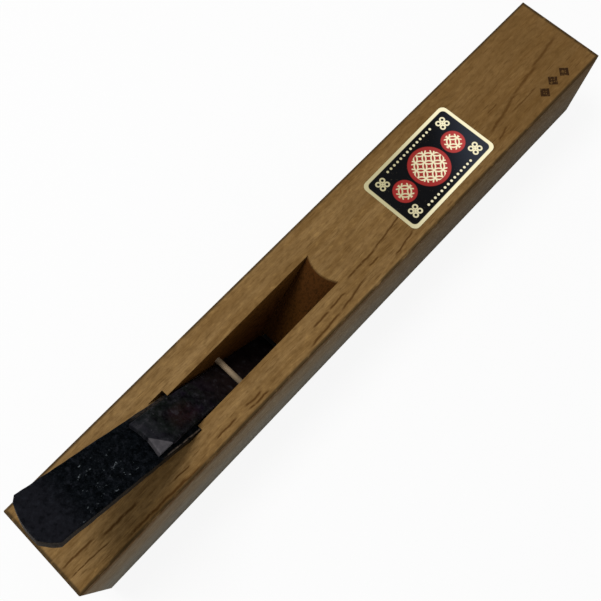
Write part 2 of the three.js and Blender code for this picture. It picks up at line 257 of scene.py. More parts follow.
def tint(tree, below, above, mask, strength):
    """Lays one colour over another by a mask, at this strength where the mask is 1."""
    return over(tree, product(tree, mask, strength), below, above)


def millimetres(tree):
    """The place on a piece in millimetres, as one vector."""
    place = lay(tree, "ShaderNodeTexCoord").outputs["Object"]
    return lay(tree, "ShaderNodeVectorMath", {0: place, "Scale": 1000}, operation="SCALE").outputs[0]


def split(tree, place):
    """The three numbers of a place."""
    parts = lay(tree, "ShaderNodeSeparateXYZ", {0: place})
    return parts.outputs[0], parts.outputs[1], parts.outputs[2]


def finish_of(name):
    """A new material, its node tree and its shader."""
    material = bpy.data.materials.new(name)
    material.use_nodes = True
    tree = material.node_tree
    shader = tree.nodes["Principled BSDF"]
    return material, tree, shader


def feed(tree, shader, height, depth, **sockets):
    """Joins the finished patterns to the shader, with a relief of this depth in metres."""
    bump = lay(tree, "ShaderNodeBump", {"Height": height, "Distance": depth, "Strength": 1})
    tree.links.new(bump.outputs[0], shader.inputs["Normal"])
    for name, value in sockets.items():
        tree.links.new(value, shader.inputs[name.replace("_", " ")])


def use_group(tree, group, feeds):
    """Places a shared effect in a material and gives it its values."""
    return lay(tree, "ShaderNodeGroup", feeds, node_tree=group).outputs


def new_group(name, inputs, outputs):
    """An empty shared effect with these number, colour or vector sockets, as (kind, name) pairs."""
    group = bpy.data.node_groups.new(name, "ShaderNodeTree")
    for way, sockets in (("INPUT", inputs), ("OUTPUT", outputs)):
        for kind, socket in sockets:
            group.interface.new_socket(socket, in_out=way, socket_type="NodeSocket" + kind)
    given = group.nodes.new("NodeGroupInput").outputs
    return group, given, group.nodes.new("NodeGroupOutput").inputs


def dark_vein_group():
    """A thin dark line of grain from one place on the top face to another, 0 to 1."""
    numbers = ("X", "Y", "From X", "From Y", "To X", "To Y", "Half Width")
    inputs = [("Float", name) for name in numbers]
    group, given, out = new_group("dark_vein", inputs, [("Float", "Mask")])
    run = reckon(group, "SUBTRACT", given["To X"], given["From X"])
    along = reckon(group, "DIVIDE", reckon(group, "SUBTRACT", given["X"], given["From X"]), run)
    rise = reckon(group, "SUBTRACT", given["To Y"], given["From Y"])
    middle = reckon(group, "MULTIPLY_ADD", along, rise, given["From Y"])
    off = size_of(group, reckon(group, "SUBTRACT", given["Y"], middle))
    narrow = fade(group, reckon(group, "DIVIDE", off, given["Half Width"]), 1.6, 0.2)
    ends = fade(group, reckon(group, "PINGPONG", along, 0.5), 0.0, 0.2)
    from_half = size_of(group, reckon(group, "SUBTRACT", along, 0.5))
    within = reckon(group, "LESS_THAN", from_half, 0.5)
    group.links.new(product(group, narrow, ends, within), out["Mask"])
    return group


def burnt_mark_group(reach):
    """A small mark burnt into the wood: a lozenge with a square in it, 0 to 1."""
    inputs = [("Float", name) for name in ("X", "Y", "Centre X", "Centre Y")]
    group, given, out = new_group("burnt_mark", inputs, [("Float", "Mask")])
    aside = size_of(group, reckon(group, "SUBTRACT", given["X"], given["Centre X"]))
    along = size_of(group, reckon(group, "SUBTRACT", given["Y"], given["Centre Y"]))
    lozenge = reckon(group, "ADD", aside, along)
    from_ring = size_of(group, reckon(group, "SUBTRACT", lozenge, reach * 0.8))
    ring = fade(group, from_ring, 1.0, 0.6)
    square = fade(group, reckon(group, "MAXIMUM", aside, along), 0.7, 0.45)
    group.links.new(reckon(group, "MAXIMUM", ring, square), out["Mask"])
    return group


# Places on the block are in millimetres. A pair says where a soft change starts and is complete.
block_top = 39
block_half_width = 18.95
block_half_length = 137.3
top_skin = (block_top - 1.2, block_top - 0.6)
side_skin = (1.5, 0.5)
end_skin = (120, 130)
long_arris = (1.3, 0.5)
end_arris = (1.8, 0.9)
pith_y = 13
pith_height = 112
ring_spacing = 1.45
ray_turn = 130
toe_browning = (-30, 120)
soil_below_top = (38, 31)
grey_toward_sole = (26, 8)
soil_below_top_at_toe = (30, 18)
toward_toe_soil = (-60, 60)
throat_middle_y = -0.13
throat_half_width = (8.4, 8.0)
throat_heel_end = (-92, -88)
throat_toe_end = (-1.0, -2.5)
throat_rim = (block_top - 0.1, block_top - 0.9)
throat_foot = (0.1, 0.6)
throat_colour_depth = (34, 8)
veins = [
    (-137, -8.7, -121, -9.3, 0.4), (-122, -10.4, -103, -11.3, 0.5), (-118, -16.9, -84, -17.5, 0.45),
    (-93, -14.6, -84, -14.9, 0.3), (-74, -15.4, -62, -15.0, 0.35), (-59, -14.9, -50, -15.3, 0.4),
    (-59, -16.5, -48, -17.0, 0.35), (-29, -16.9, -10, -15.8, 0.45), (-23, -12.7, -13, -12.6, 0.4),
    (-14, -12.5, -4, -11.8, 0.35), (-12, -15.8, 6, -13.6, 0.4), (-2, -9.2, 17, -8.7, 0.4),
    (13, -9.1, 34, -5.9, 0.4), (8, -11.7, 14, -11.5, 0.35), (17, -16.2, 31, -14.0, 0.35),
    (79, -10.0, 104, -5.1, 0.6), (98, -5.4, 118, -3.6, 0.6), (113, -3.3, 134, -0.6, 0.55),
    (80, -13.8, 88, -12.4, 0.4), (86, -3.3, 93, -3.0, 0.3), (92, -9.8, 110, -9.4, 0.3),
    (-137, -12.9, -118, -13.6, 0.25), (-104, -17.2, -80, -18.0, 0.3),
]
vein_softening = (60, 100)
stamps = [(121.8, -13.4), (115.6, -12.7), (109.2, -13.7)]
stamp_reach = 2.15

oak_pale = dye("8c6f46")
oak_deep = dye("7b5e36")
oak_toe = dye("694b26")
late_wood_brown = dye("5c3f1c")
fibre_brown = dye("563b19")
fine_fibre_brown = dye("4a3216")
mottle_brown = dye("543b1b")
mottle_pale = dye("a5834f")
patch_brown = dye("5c4322")
dash_brown = dye("4a3012")
vein_brown = dye("452a0b")
end_pale = dye("6e4d26")
end_deep = dye("5a3d1d")
end_ring_brown = dye("3f2810")
end_pore_brown = dye("33200d")
end_ray_pale = dye("8d6c3e")
side_edge_brown = dye("5b3e1e")
side_grey = dye("80715c")
side_foot_grey = dye("838076")
side_toe_edge = dye("5b4830")
side_toe_foot = dye("5f4f3d")
side_fibre_brown = dye("3c3226")
side_fleck = dye("958870")
arris_brown = dye("352917")
throat_top_brown = dye("48290e")
throat_foot_brown = dye("50300f")
throat_cheek_brown = dye("66421a")
soot_and_shade_brown = dye("241505")
burn_brown = dye("2a190b")


def oak_finish():
    """Oiled white oak: rings, fibres, short veins, greyed sides, dark arrises and a throat darkened
    with dust and painted shade.
    """
    material, tree, shader = finish_of("oiled_oak")
    place = millimetres(tree)
    x, y, z = split(tree, place)

    wander = lay(tree, "ShaderNodeTexNoise", {
        "Vector": stretched(tree, place, (0.016, 0.045, 0.045)), "Scale": 1, "Detail": 2,
    }).outputs["Color"]
    warped = lay(tree, "ShaderNodeVectorMath", {
        0: wander, 1: (0, 7, 7), 2: stretched(tree, place, (1, 1, 1), (0, -3.5, -3.5)),
    }, operation="MULTIPLY_ADD").outputs[0]
    _, warped_y, warped_z = split(tree, warped)

    from_pith_y = reckon(tree, "SUBTRACT", warped_y, pith_y)
    from_pith_z = reckon(tree, "SUBTRACT", pith_height, warped_z)
    squares = reckon(tree, "MULTIPLY_ADD", from_pith_y, from_pith_y,
                     product(tree, from_pith_z, from_pith_z))
    reach = reckon(tree, "MULTIPLY_ADD", x, 0.012, reckon(tree, "SQRT", squares))
    ring = reckon(tree, "FRACT", reckon(tree, "DIVIDE", reach, ring_spacing))
    late_wood = product(tree, fade(tree, ring, 0.25, 0.9), fade(tree, ring, 1.0, 0.9))

    fibre = cloudy(tree, stretched(tree, warped, (0.16, 2.6, 2.6)), detail=4, roughness=0.65)
    fine_fibre = cloudy(tree, stretched(tree, warped, (0.35, 8, 8)), detail=2)
    streaks = cloudy(tree, stretched(tree, warped, (0.02, 0.3, 0.3)), detail=3)
    mottle = cloudy(tree, stretched(tree, place, (0.32, 0.8, 0.8)), detail=3, roughness=0.6)
    patches = cloudy(tree, stretched(tree, place, (0.03, 0.09, 0.09)), detail=2)
    cells = lay(tree, "ShaderNodeTexVoronoi", {
        "Vector": stretched(tree, warped, (0.1, 1.5, 1.5)), "Scale": 1, "Randomness": 1,
    })
    chosen, _, _ = split(tree, cells.outputs["Color"])
    on_right = fade(tree, y, 2, -10)
    fewest = reckon(tree, "MULTIPLY_ADD", on_right, -0.22, 0.8)
    picked = reckon(tree, "GREATER_THAN", chosen, fewest)
    dashes = product(tree, fade(tree, cells.outputs["Distance"], 0.32, 0.1), picked)

    vein = dark_vein_group()
    on_top = fade(tree, z, *top_skin)
    waver = cloudy(tree, stretched(tree, place, (0.16, 0.05, 0.05)), detail=2)
    vein_y = reckon(tree, "ADD", y, reckon(tree, "MULTIPLY_ADD", waver, 1.6, -0.8))
    lines = 0.0
    for from_x, from_y, to_x, to_y, half_width in veins:
        mask = use_group(tree, vein, {
            "X": x, "Y": vein_y, "From X": from_x, "From Y": from_y,
            "To X": to_x, "To Y": to_y, "Half Width": half_width,
        })[0]
        lines = reckon(tree, "MAXIMUM", lines, mask)
    gaps = cloudy(tree, stretched(tree, place, (0.5, 1.5, 1.5)), detail=2)
    lines = product(tree, lines, on_top, fade(tree, gaps, 0.2, 0.42))

    toward_toe = fade(tree, x, *toe_browning)
    colour = over(tree, fade(tree, streaks, 0.3, 0.7), oak_pale, oak_deep)
    colour = tint(tree, colour, oak_toe, toward_toe, 0.55)
    colour = tint(tree, colour, late_wood_brown, late_wood, 0.16)
    colour = tint(tree, colour, fibre_brown, fade(tree, fibre, 0.42, 0.72), 0.42)
    colour = tint(tree, colour, fine_fibre_brown, fade(tree, fine_fibre, 0.45, 0.65), 0.16)
    colour = tint(tree, colour, mottle_brown, fade(tree, mottle, 0.47, 0.72), 0.45)
    paleness = reckon(tree, "MULTIPLY_ADD", toward_toe, -0.2, 0.35)
    colour = tint(tree, colour, mottle_pale, fade(tree, mottle, 0.47, 0.25), paleness)
    colour = tint(tree, colour, patch_brown, fade(tree, patches, 0.45, 0.7), 0.3)
    colour = tint(tree, colour, dash_brown, dashes, 0.45)
    vein_strength = reckon(tree, "MULTIPLY_ADD", fade(tree, x, *vein_softening), -0.27, 0.88)
    colour = tint(tree, colour, vein_brown, lines, vein_strength)

    normal_x, normal_y, _ = split(tree, lay(tree, "ShaderNodeNewGeometry").outputs["Normal"])
    facing_end = fade(tree, size_of(tree, normal_x), 0.85, 0.98)
    on_end = product(tree, facing_end, fade(tree, size_of(tree, x), *end_skin))
    around = product(tree, reckon(tree, "ARCTAN2", from_pith_y, from_pith_z), ray_turn)
    outward = product(tree, reach, 0.12)
    spoke = lay(tree, "ShaderNodeCombineXYZ", {0: around, 1: outward, 2: 0.0}).outputs[0]
    rays = fade(tree, cloudy(tree, spoke, detail=2), 0.58, 0.68)
    pores = fade(tree, cloudy(tree, place, scale=2.4, detail=2), 0.55, 0.7)
    end_grain = over(tree, fade(tree, patches, 0.3, 0.7), end_pale, end_deep)
    end_grain = tint(tree, end_grain, end_ring_brown, late_wood, 0.6)
    end_grain = tint(tree, end_grain, end_pore_brown, pores, 0.5)
    end_grain = tint(tree, end_grain, end_ray_pale, rays, 0.3)
    colour = over(tree, on_end, colour, end_grain)

    on_side = fade(tree, size_of(tree, normal_y), 0.8, 0.98)
    from_edge = reckon(tree, "SUBTRACT", block_half_width, size_of(tree, y))
    outside = fade(tree, from_edge, *side_skin)
    soiled = over(tree, fade(tree, z, *soil_below_top), side_edge_brown, side_grey)
    soiled = over(tree, fade(tree, z, *grey_toward_sole), soiled, side_foot_grey)
    soiled_toe = over(tree, fade(tree, z, *soil_below_top_at_toe), side_toe_edge, side_toe_foot)
    soiled = tint(tree, soiled, soiled_toe, fade(tree, x, *toward_toe_soil), 0.7)
    soiled = tint(tree, soiled, side_fibre_brown, fade(tree, fibre, 0.4, 0.65), 0.45)
    soiled = tint(tree, soiled, side_fleck, fade(tree, mottle, 0.52, 0.3), 0.38)
    colour = over(tree, product(tree, on_side, outside, 0.9), colour, soiled)

    from_end = reckon(tree, "SUBTRACT", block_half_length, size_of(tree, x))
    from_top = reckon(tree, "SUBTRACT", block_top, z)
    on_long_arris = fade(tree, reckon(tree, "ADD", from_edge, from_top), *long_arris)
    on_end_arris = fade(tree, reckon(tree, "ADD", from_end, from_top), *end_arris)
    scuffed = fade(tree, cloudy(tree, stretched(tree, place, (0.2, 0.5, 0.5)), detail=3), 0.15, 0.5)
    arris = product(tree, reckon(tree, "MAXIMUM", on_long_arris, on_end_arris), scuffed)
    colour = tint(tree, colour, arris_brown, arris, 0.85)

    # Inside the throat the wood is painted dark: partly shavings' dust, partly painted shade of the
    # deep recess.
    from_middle = size_of(tree, reckon(tree, "SUBTRACT", y, throat_middle_y))
    in_width = fade(tree, from_middle, *throat_half_width)
    in_length = product(tree, fade(tree, x, *throat_heel_end), fade(tree, x, *throat_toe_end))
    in_depth = product(tree, fade(tree, z, *throat_rim), fade(tree, z, *throat_foot))
    inside = product(tree, in_width, in_length, in_depth)
    throat_dust_and_shade = over(tree, fade(tree, z, *throat_colour_depth), throat_top_brown, throat_foot_brown)
    throat_dust_and_shade = over(tree, on_side, throat_dust_and_shade, throat_cheek_brown)
    throat_dust_and_shade = tint(tree, throat_dust_and_shade, soot_and_shade_brown, fade(tree, mottle, 0.45, 0.65), 0.5)
    colour = tint(tree, colour, throat_dust_and_shade, inside, 0.97)

    mark = burnt_mark_group(stamp_reach)
    burnt = 0.0
    for centre_x, centre_y in stamps:
        middle = {"Centre X": centre_x, "Centre Y": centre_y}
        stamp = use_group(tree, mark, {"X": x, "Y": y, **middle})[0]
        burnt = reckon(tree, "MAXIMUM", burnt, stamp)
    worn = fade(tree, cloudy(tree, place, scale=0.9, detail=2), 0.2, 0.5)
    burnt = product(tree, burnt, on_top, worn)
    colour = tint(tree, colour, burn_brown, burnt, 0.95)

    rough = reckon(tree, "MULTIPLY_ADD", fibre, 0.25, 0.48)
    rough = reckon(tree, "MULTIPLY_ADD", inside, 0.2, rough)
    rough = reckon(tree, "MULTIPLY_ADD", on_side, 0.35, rough)
    height = reckon(tree, "MULTIPLY_ADD", dashes, -0.5, product(tree, fibre, 0.6))
    height = reckon(tree, "MULTIPLY_ADD", lines, -0.5, height)
    height = reckon(tree, "MULTIPLY_ADD", burnt, -1.2, height)
    feed(tree, shader, height, 0.0001, Base_Color=colour, Roughness=rough)
    shader.inputs["Specular IOR Level"].default_value = 0.03
    return material


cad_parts["block"].data.materials[0] = oak_finish()


# The retaining pin (osae-bo)
# A round steel rod driven across the throat through a hole in the left cheek into a blind hole in
# the right one. Its ends are filed round, and its surface is dull, drawn and lightly spotted.
pin_low, pin_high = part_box("retaining_pin")
pin_middle = (pin_low + pin_high) / 2
pin_radius = (pin_high.z - pin_low.z) / 2
pin_sides = 48
pin_filing = 0.0005
pin_painted_shade_span = (5, -6)
pin_grey = dye("978368")
pin_grey_pale = dye("a8947a")
pin_grey_in_painted_shade = dye("6f624f")
pin_rust = dye("6b5136")

bpy.ops.object.select_all(action="DESELECT")
bpy.ops.mesh.primitive_cylinder_add(
    vertices=pin_sides, radius=pin_radius, depth=pin_high.y - pin_low.y,
    location=pin_middle, rotation=(math.pi / 2, 0, 0))
pin = bpy.context.object
pin.name = "cross_pin"
bpy.ops.object.transform_apply(location=True, rotation=True, scale=True)
filed = pin.modifiers.new("filed_ends", "BEVEL")
filed.width = pin_filing
filed.segments = 3
filed.angle_limit = math.radians(50)
bpy.ops.object.modifier_apply(modifier=filed.name)
bpy.ops.object.shade_smooth_by_angle(angle=math.radians(40))


def pin_finish():
    """Dull drawn steel, grey-beige, with fine rings, rust spots and painted shade toward its right
    end.
    """
    material, tree, shader = finish_of("dull_pin_steel")
    place = millimetres(tree)
    _, y, _ = split(tree, place)
    drawn = cloudy(tree, stretched(tree, place, (4, 0.5, 4)), detail=3)
    spots = fade(tree, cloudy(tree, place, scale=1.3, detail=3), 0.58, 0.72)
    colour = over(tree, drawn, pin_grey, pin_grey_pale)
    # Painted shade: the pin is painted dimmer toward its right end.
    colour = over(tree, fade(tree, y, *pin_painted_shade_span), colour, pin_grey_in_painted_shade)
    colour = tint(tree, colour, pin_rust, spots, 0.5)
    rough = reckon(tree, "MULTIPLY_ADD", spots, 0.1, 0.75)
    feed(tree, shader, drawn, 0.00003, Base_Color=colour, Roughness=rough)
    shader.inputs["Metallic"].default_value = 0.15
    shader.inputs["Specular IOR Level"].default_value = 0.15
    return material


pin.data.materials.append(pin_finish())
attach(pin, "block")
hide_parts("retaining_pin")


# The label
# A thin printed foil stuck on the top face near the toe: a cream border round a black ground, with
# a red disc of interlocking circles between two small ones, and flowers in the corners.
label_low, label_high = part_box("label")
label_middle = (label_low + label_high) / 2
label_size = Vector((0.0474, 0.0266))
label_thickness = label_high.z - label_low.z
label_turn = math.radians(0.6)
label_corner = 0.0024
label_edge = 0.00006

bpy.ops.object.select_all(action="DESELECT")
bpy.ops.mesh.primitive_plane_add(size=1, location=(0, 0, 0))
label = bpy.context.object
label.name = "foil_label"
label.scale = (label_size.x, label_size.y, 1)
bpy.ops.object.transform_apply(location=True, rotation=True, scale=True)
bpy.ops.object.mode_set(mode="EDIT")
bpy.ops.mesh.select_all(action="SELECT")
bpy.ops.mesh.bevel(offset=label_corner, segments=8, affect="VERTICES")
bpy.ops.mesh.extrude_region_move(TRANSFORM_OT_translate={"value": (0, 0, label_thickness)})
bpy.ops.mesh.select_all(action="SELECT")
bpy.ops.mesh.normals_make_consistent(inside=False)
bpy.ops.object.mode_set(mode="OBJECT")
label.rotation_euler.z = label_turn
label.location = (label_middle.x, label_middle.y, label_low.z)
bpy.ops.object.transform_apply(location=True, rotation=True, scale=True)
softened = label.modifiers.new("pressed_edge", "BEVEL")
softened.width = label_edge
softened.segments = 2
softened.angle_limit = math.radians(50)
bpy.ops.object.modifier_apply(modifier=softened.name)

# Places in the print are in millimetres from the label's middle.
border_inset = 3.2
border_edge = (1.7, 1.95)
line_softness = 0.12
big_radius = 8.3
small_radius = 4.7
small_from_middle = 14.1
disc_softness = 0.2
big_pattern_inset = (1.4, 1.6)
small_pattern_inset = (1.1, 1.3)
circle_pitch = 4.7
circle_line = 0.27
flower_place = (17.6, 8.0)
petal_from_middle = 1.15
petal_radius = 0.85
petal_line = 0.3
flower_eye = (0.65, 0.4)
half_bead_pitch = 1.9
bead_row = 10.0
bead_size = (0.6, 0.4)
bead_row_end = (13.4, 13.2)
ground_black = dye("010102")
ground_painted_sheen = dye("373c47")
ground_mottle = dye("20222a")
red_painted_dim = dye("932a27")
red_painted_bright = dye("c44b49")
ink_painted_dim = dye("bab28a")
ink_painted_bright = dye("fdf4cc")
rubbed_grey = dye("6d6450")


def label_finish():
    """The label's print, with a painted sheen and painted light that brighten it toward the right side
    of the toe, and rubbed in places.
    """
    material, tree, shader = finish_of("printed_foil")
    centred = lay(tree, "ShaderNodeMapping", {
        "Vector": lay(tree, "ShaderNodeTexCoord").outputs["Object"],
        "Location": (label_middle.x, label_middle.y, label_low.z),
        "Rotation": (0, 0, label_turn), "Scale": (0.001, 0.001, 0.001),
    }, vector_type="TEXTURE").outputs[0]
    x, y, _ = split(tree, centred)
    aside = size_of(tree, x)
    along = size_of(tree, y)

    def less(value, taken):
        return reckon(tree, "SUBTRACT", value, taken)

    def distance(value_x, value_y):
        squares = reckon(tree, "MULTIPLY_ADD", value_x, value_x, product(tree, value_y, value_y))
        return reckon(tree, "SQRT", squares)

    def line(far, radius, half_width):
        off = size_of(tree, less(far, radius))
        return fade(tree, off, half_width + line_softness, half_width - line_softness)

    past_end = reckon(tree, "MAXIMUM", less(aside, label_size.x * 500 - border_inset), 0)
    past_side = reckon(tree, "MAXIMUM", less(along, label_size.y * 500 - border_inset), 0)
    border = fade(tree, distance(past_end, past_side), *border_edge)

    discs = []
    patterned = []
    big_disc = (distance(x, y), big_radius, big_pattern_inset)
    small_disc = (distance(less(aside, small_from_middle), y), small_radius, small_pattern_inset)
    for far, radius, (inset, deeper_inset) in (big_disc, small_disc):
        discs.append(fade(tree, far, radius + disc_softness, radius - disc_softness))
        patterned.append(fade(tree, far, radius - inset, radius - deeper_inset))
    lattice = 0.0
    for shift in (0.5, 1.0):
        cell = lay(tree, "ShaderNodeVectorMath", {
            0: centred, 1: (1 / circle_pitch, 1 / circle_pitch, 0), 2: (shift, shift, 0),
        }, operation="MULTIPLY_ADD").outputs[0]
        cell = lay(tree, "ShaderNodeVectorMath", {0: cell}, operation="FRACTION").outputs[0]
        middle = {0: cell, 1: (0.5, 0.5, 0)}
        cell = lay(tree, "ShaderNodeVectorMath", middle, operation="SUBTRACT").outputs[0]
        far = lay(tree, "ShaderNodeVectorMath", {0: cell}, operation="LENGTH").outputs["Value"]
        circle = line(product(tree, far, circle_pitch), circle_pitch / 2, circle_line)
        lattice = reckon(tree, "MAXIMUM", lattice, circle)
    cream = product(tree, lattice, reckon(tree, "MAXIMUM", *patterned))

    flower_x = size_of(tree, less(aside, flower_place[0]))
    flower_y = size_of(tree, less(along, flower_place[1]))
    from_petal = distance(less(flower_x, petal_from_middle), less(flower_y, petal_from_middle))
    petals = line(from_petal, petal_radius, petal_line)
    eye_of_flower = fade(tree, distance(flower_x, flower_y), *flower_eye)
    cream = reckon(tree, "MAXIMUM", cream, reckon(tree, "MAXIMUM", petals, eye_of_flower))
    bead_x = less(reckon(tree, "PINGPONG", aside, half_bead_pitch), half_bead_pitch / 2)
    beads = fade(tree, distance(bead_x, less(along, bead_row)), *bead_size)
    beads = product(tree, beads, fade(tree, aside, *bead_row_end))
    cream = reckon(tree, "MAXIMUM", cream, beads)

    # Painted reflection and painted light: the ground, the red and the cream are painted brighter
    # toward the toe's right side.
    across = reckon(tree, "MULTIPLY_ADD", y, -0.9, x)
    painted_sheen = product(tree, fade(tree, across, -6, 28), 0.85)
    mottled = cloudy(tree, centred, scale=0.5, detail=3)
    ground = over(tree, product(tree, painted_sheen, painted_sheen), ground_black, ground_painted_sheen)
    ground = tint(tree, ground, ground_mottle, mottled, 0.08)
    red = over(tree, painted_sheen, red_painted_dim, red_painted_bright)
    colour = over(tree, reckon(tree, "MAXIMUM", *discs), ground, red)
    ink = over(tree, fade(tree, across, -24, 14), ink_painted_dim, ink_painted_bright)
    colour = over(tree, cream, colour, ink)
    colour = over(tree, border, colour, ink)
    rubbed = fade(tree, cloudy(tree, centred, scale=1.4, detail=3), 0.62, 0.78)
    colour = tint(tree, colour, rubbed_grey, rubbed, 0.25)
    rough = reckon(tree, "MULTIPLY_ADD", rubbed, 0.3, 0.42)
    relief = reckon(tree, "ADD", product(tree, cream, 0.5), border)
    feed(tree, shader, relief, 0.00002, Base_Color=colour, Roughness=rough)
    shader.inputs["Specular IOR Level"].default_value = 0.05
    return material


label.data.materials.append(label_finish())
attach(label, "block")
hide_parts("label")


# The blade (kanna-mi)
# A thick tapering wedge of soft forged iron with hard steel welded to its lower face. Its head is
# black with scale and dented by years of hammering, and its long edges are rubbed where it rides
# in the grooves.
mouth_x = -28.9
mouth_opening = 1.3
face_slope = math.radians(40.3 + 1.2)
blade_turn = math.radians(1.8)
blade_pivot = 29
blade_offset = 0.4
blade_length = 125.6
blade_foot_half_width = 8.4
blade_head_half_width = 9.4
edge_height = 0.3
weld_distance = 0.000001
blow_size = 0.0042

seat = Matrix.Translation((mouth_x - mouth_opening, 0, 0)) @ Matrix.Rotation(face_slope, 4, "Y")
askew = Matrix.Translation((-blade_pivot, blade_offset, 0)) @ Matrix.Rotation(blade_turn, 4, "Z")
blade_place = seat @ askew @ Matrix.Translation((blade_pivot, 0, 0))
blade_edge_x = -edge_height / math.sin(face_slope)


def forged_copy(node, name, place, rounding, head, cuts, dent):
    """A CAD solid copied as one skin, its corners worn round and its head cut fine and dented.

    head gives where the dents start and where they are full, along the piece. cuts gives each
    direction's first and last cut and the number of cuts. All are in millimetres on the piece.
    """
    piece = bpy.data.objects.new(name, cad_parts[node].data.copy())
    bpy.context.scene.collection.objects.link(piece)
    bpy.ops.object.select_all(action="DESELECT")
    piece.select_set(True)
    bpy.context.view_layer.objects.active = piece
    bpy.ops.object.mode_set(mode="EDIT")
    bpy.ops.mesh.select_all(action="SELECT")
    bpy.ops.mesh.remove_doubles(threshold=weld_distance)
    bpy.ops.mesh.dissolve_limited(angle_limit=math.radians(1))
    bpy.ops.object.mode_set(mode="OBJECT")
    corners = piece.modifiers.new("worn_corners", "BEVEL")
    corners.width = rounding / 1000
    corners.segments = 3
    corners.angle_limit = math.radians(25)
    bpy.ops.object.modifier_apply(modifier=corners.name)

    bpy.ops.object.mode_set(mode="EDIT")
    for direction, (first, last, count) in enumerate(cuts):
        across = Vector([float(direction == k) for k in range(3)])
        normal = place.to_3x3() @ across
        for k in range(count):
            offset = first + (last - first) * k / max(count - 1, 1)
            bpy.ops.mesh.select_all(action="SELECT")
            bpy.ops.mesh.bisect(plane_co=place @ (across * offset) / 1000, plane_no=normal)
    bpy.ops.mesh.select_all(action="SELECT")
    bpy.ops.mesh.quads_convert_to_tris()
    bpy.ops.object.mode_set(mode="OBJECT")

    struck = piece.vertex_groups.new(name="struck")
    back = place.inverted()
    start, full = head
    for vertex in piece.data.vertices:
        reached = ((back @ (vertex.co * 1000)).x - start) / (full - start)
        struck.add([vertex.index], min(max(reached, 0), 1), "REPLACE")
    blows = bpy.data.textures.new(name + "_blows", "CLOUDS")
    blows.noise_scale = blow_size
    blows.noise_depth = 1
    dents = piece.modifiers.new("hammer_dents", "DISPLACE")
    dents.texture = blows
    dents.texture_coords = "LOCAL"
    dents.vertex_group = struck.name
    dents.mid_level = 0.5
    dents.strength = dent / 1000
    bpy.ops.object.modifier_apply(modifier=dents.name)
    bpy.ops.object.shade_smooth_by_angle(angle=math.radians(35))
    return piece


blade = forged_copy(
    "blade_body", "forged_blade", blade_place, rounding=0.22, head=(-64, -80),
    cuts=((-64, -blade_length, 78), (-9.2, 9.2, 23), (-6, -1, 5)), dent=0.35)


def on_piece(tree, place):
    """Millimetres on a leaning piece: x down its face, y to the left and z out of the face."""
    feeds = {
        "Vector": lay(tree, "ShaderNodeTexCoord").outputs["Object"],
        "Location": place.to_translation() / 1000,
        "Rotation": place.to_euler("XYZ"),
        "Scale": (0.001, 0.001, 0.001),
    }
    return lay(tree, "ShaderNodeMapping", feeds, vector_type="TEXTURE").outputs[0]


def band(tree, value, from_none, from_full, to_full, to_none):
    """A mask that is full between two places along a line and fades out past them."""
    rising = fade(tree, value, from_none, from_full)
    return product(tree, rising, fade(tree, value, to_none, to_full))


def scale_group():
    """Old forge scale on iron: mottled patches, pale rubbed specks and a pitted relief."""
    colours = [("Color", name) for name in ("Dark", "Pale", "Speck")]
    inputs = [("Vector", "Vector"), *colours, ("Float", "Specks")]
    outputs = [("Color", "Color"), ("Float", "Roughness"), ("Float", "Height"), ("Float", "Bared")]
    group, given, out = new_group("forge_scale", inputs, outputs)
    place = given["Vector"]
    mottle = cloudy(group, place, scale=0.42, detail=4, roughness=0.6)
    blotches = cloudy(group, place, scale=0.9, detail=3, roughness=0.65)
    grain = cloudy(group, place, scale=2.2, detail=4, roughness=0.7)
    bruises = cloudy(group, stretched(group, place, (0.42, 0.6, 0.6)), detail=3, roughness=0.65)
    least = reckon(group, "SUBTRACT", 0.86, given["Specks"])
    speck = fade(group, reckon(group, "SUBTRACT", bruises, least), -0.04, 0.06)
    patches = reckon(group, "ADD", fade(group, mottle, 0.35, 0.7), fade(group, blotches, 0.42, 0.68))
    colour = over(group, product(group, patches, 0.5), given["Dark"], given["Pale"])
    colour = tint(group, colour, given["Speck"], fade(group, grain, 0.5, 0.8), 0.1)
    colour = over(group, speck, colour, given["Speck"])
    rough = reckon(group, "MULTIPLY_ADD", mottle, 0.3, 0.38)
    rough = reckon(group, "MULTIPLY_ADD", speck, -0.15, rough)
    height = reckon(group, "MULTIPLY_ADD", mottle, 0.8, product(group, grain, 0.35))
    height = reckon(group, "MULTIPLY_ADD", speck, 0.3, height)
    for name, value in zip(("Color", "Roughness", "Height", "Bared"), (colour, rough, height, speck)):
        group.links.new(value, out[name])
    return group


forge_scale = scale_group()

# Places on the blade are in millimetres, x from the foot of its face. Four numbers say where a
# soft band starts, is full, is full until, and ends.
rubbed_x = (-112, -102, -90, -82)
rubbed_y = (-9.5, -6, 4, 8)
rubbed_right_x = (-118, -112, -90, -80)
rubbed_right_y = (-3.5, -6.5)
head_paling = (-107, -119)
face_skin = (-0.4, -0.1)
below_face = (-0.15, -0.6)
left_strip_y = (0.0, 0.15, 1.1, 1.5)
left_strip_x = (-78, -74, -62, -57)
right_strip_y = (0.1, 0.2, 0.5, 0.8)
right_strip_x = (-79, -74, -60, -56)
scale_black = dye("000102")
scale_pale = dye("101317")
scale_speck = dye("5a6064")
head_grey = dye("1d1d22")
stain_pale = dye("24262c")
strip_brown = dye("5f5348")
rust_dark = dye("17130c")
rust_brown = dye("261e13")
rust_red = dye("402a19")


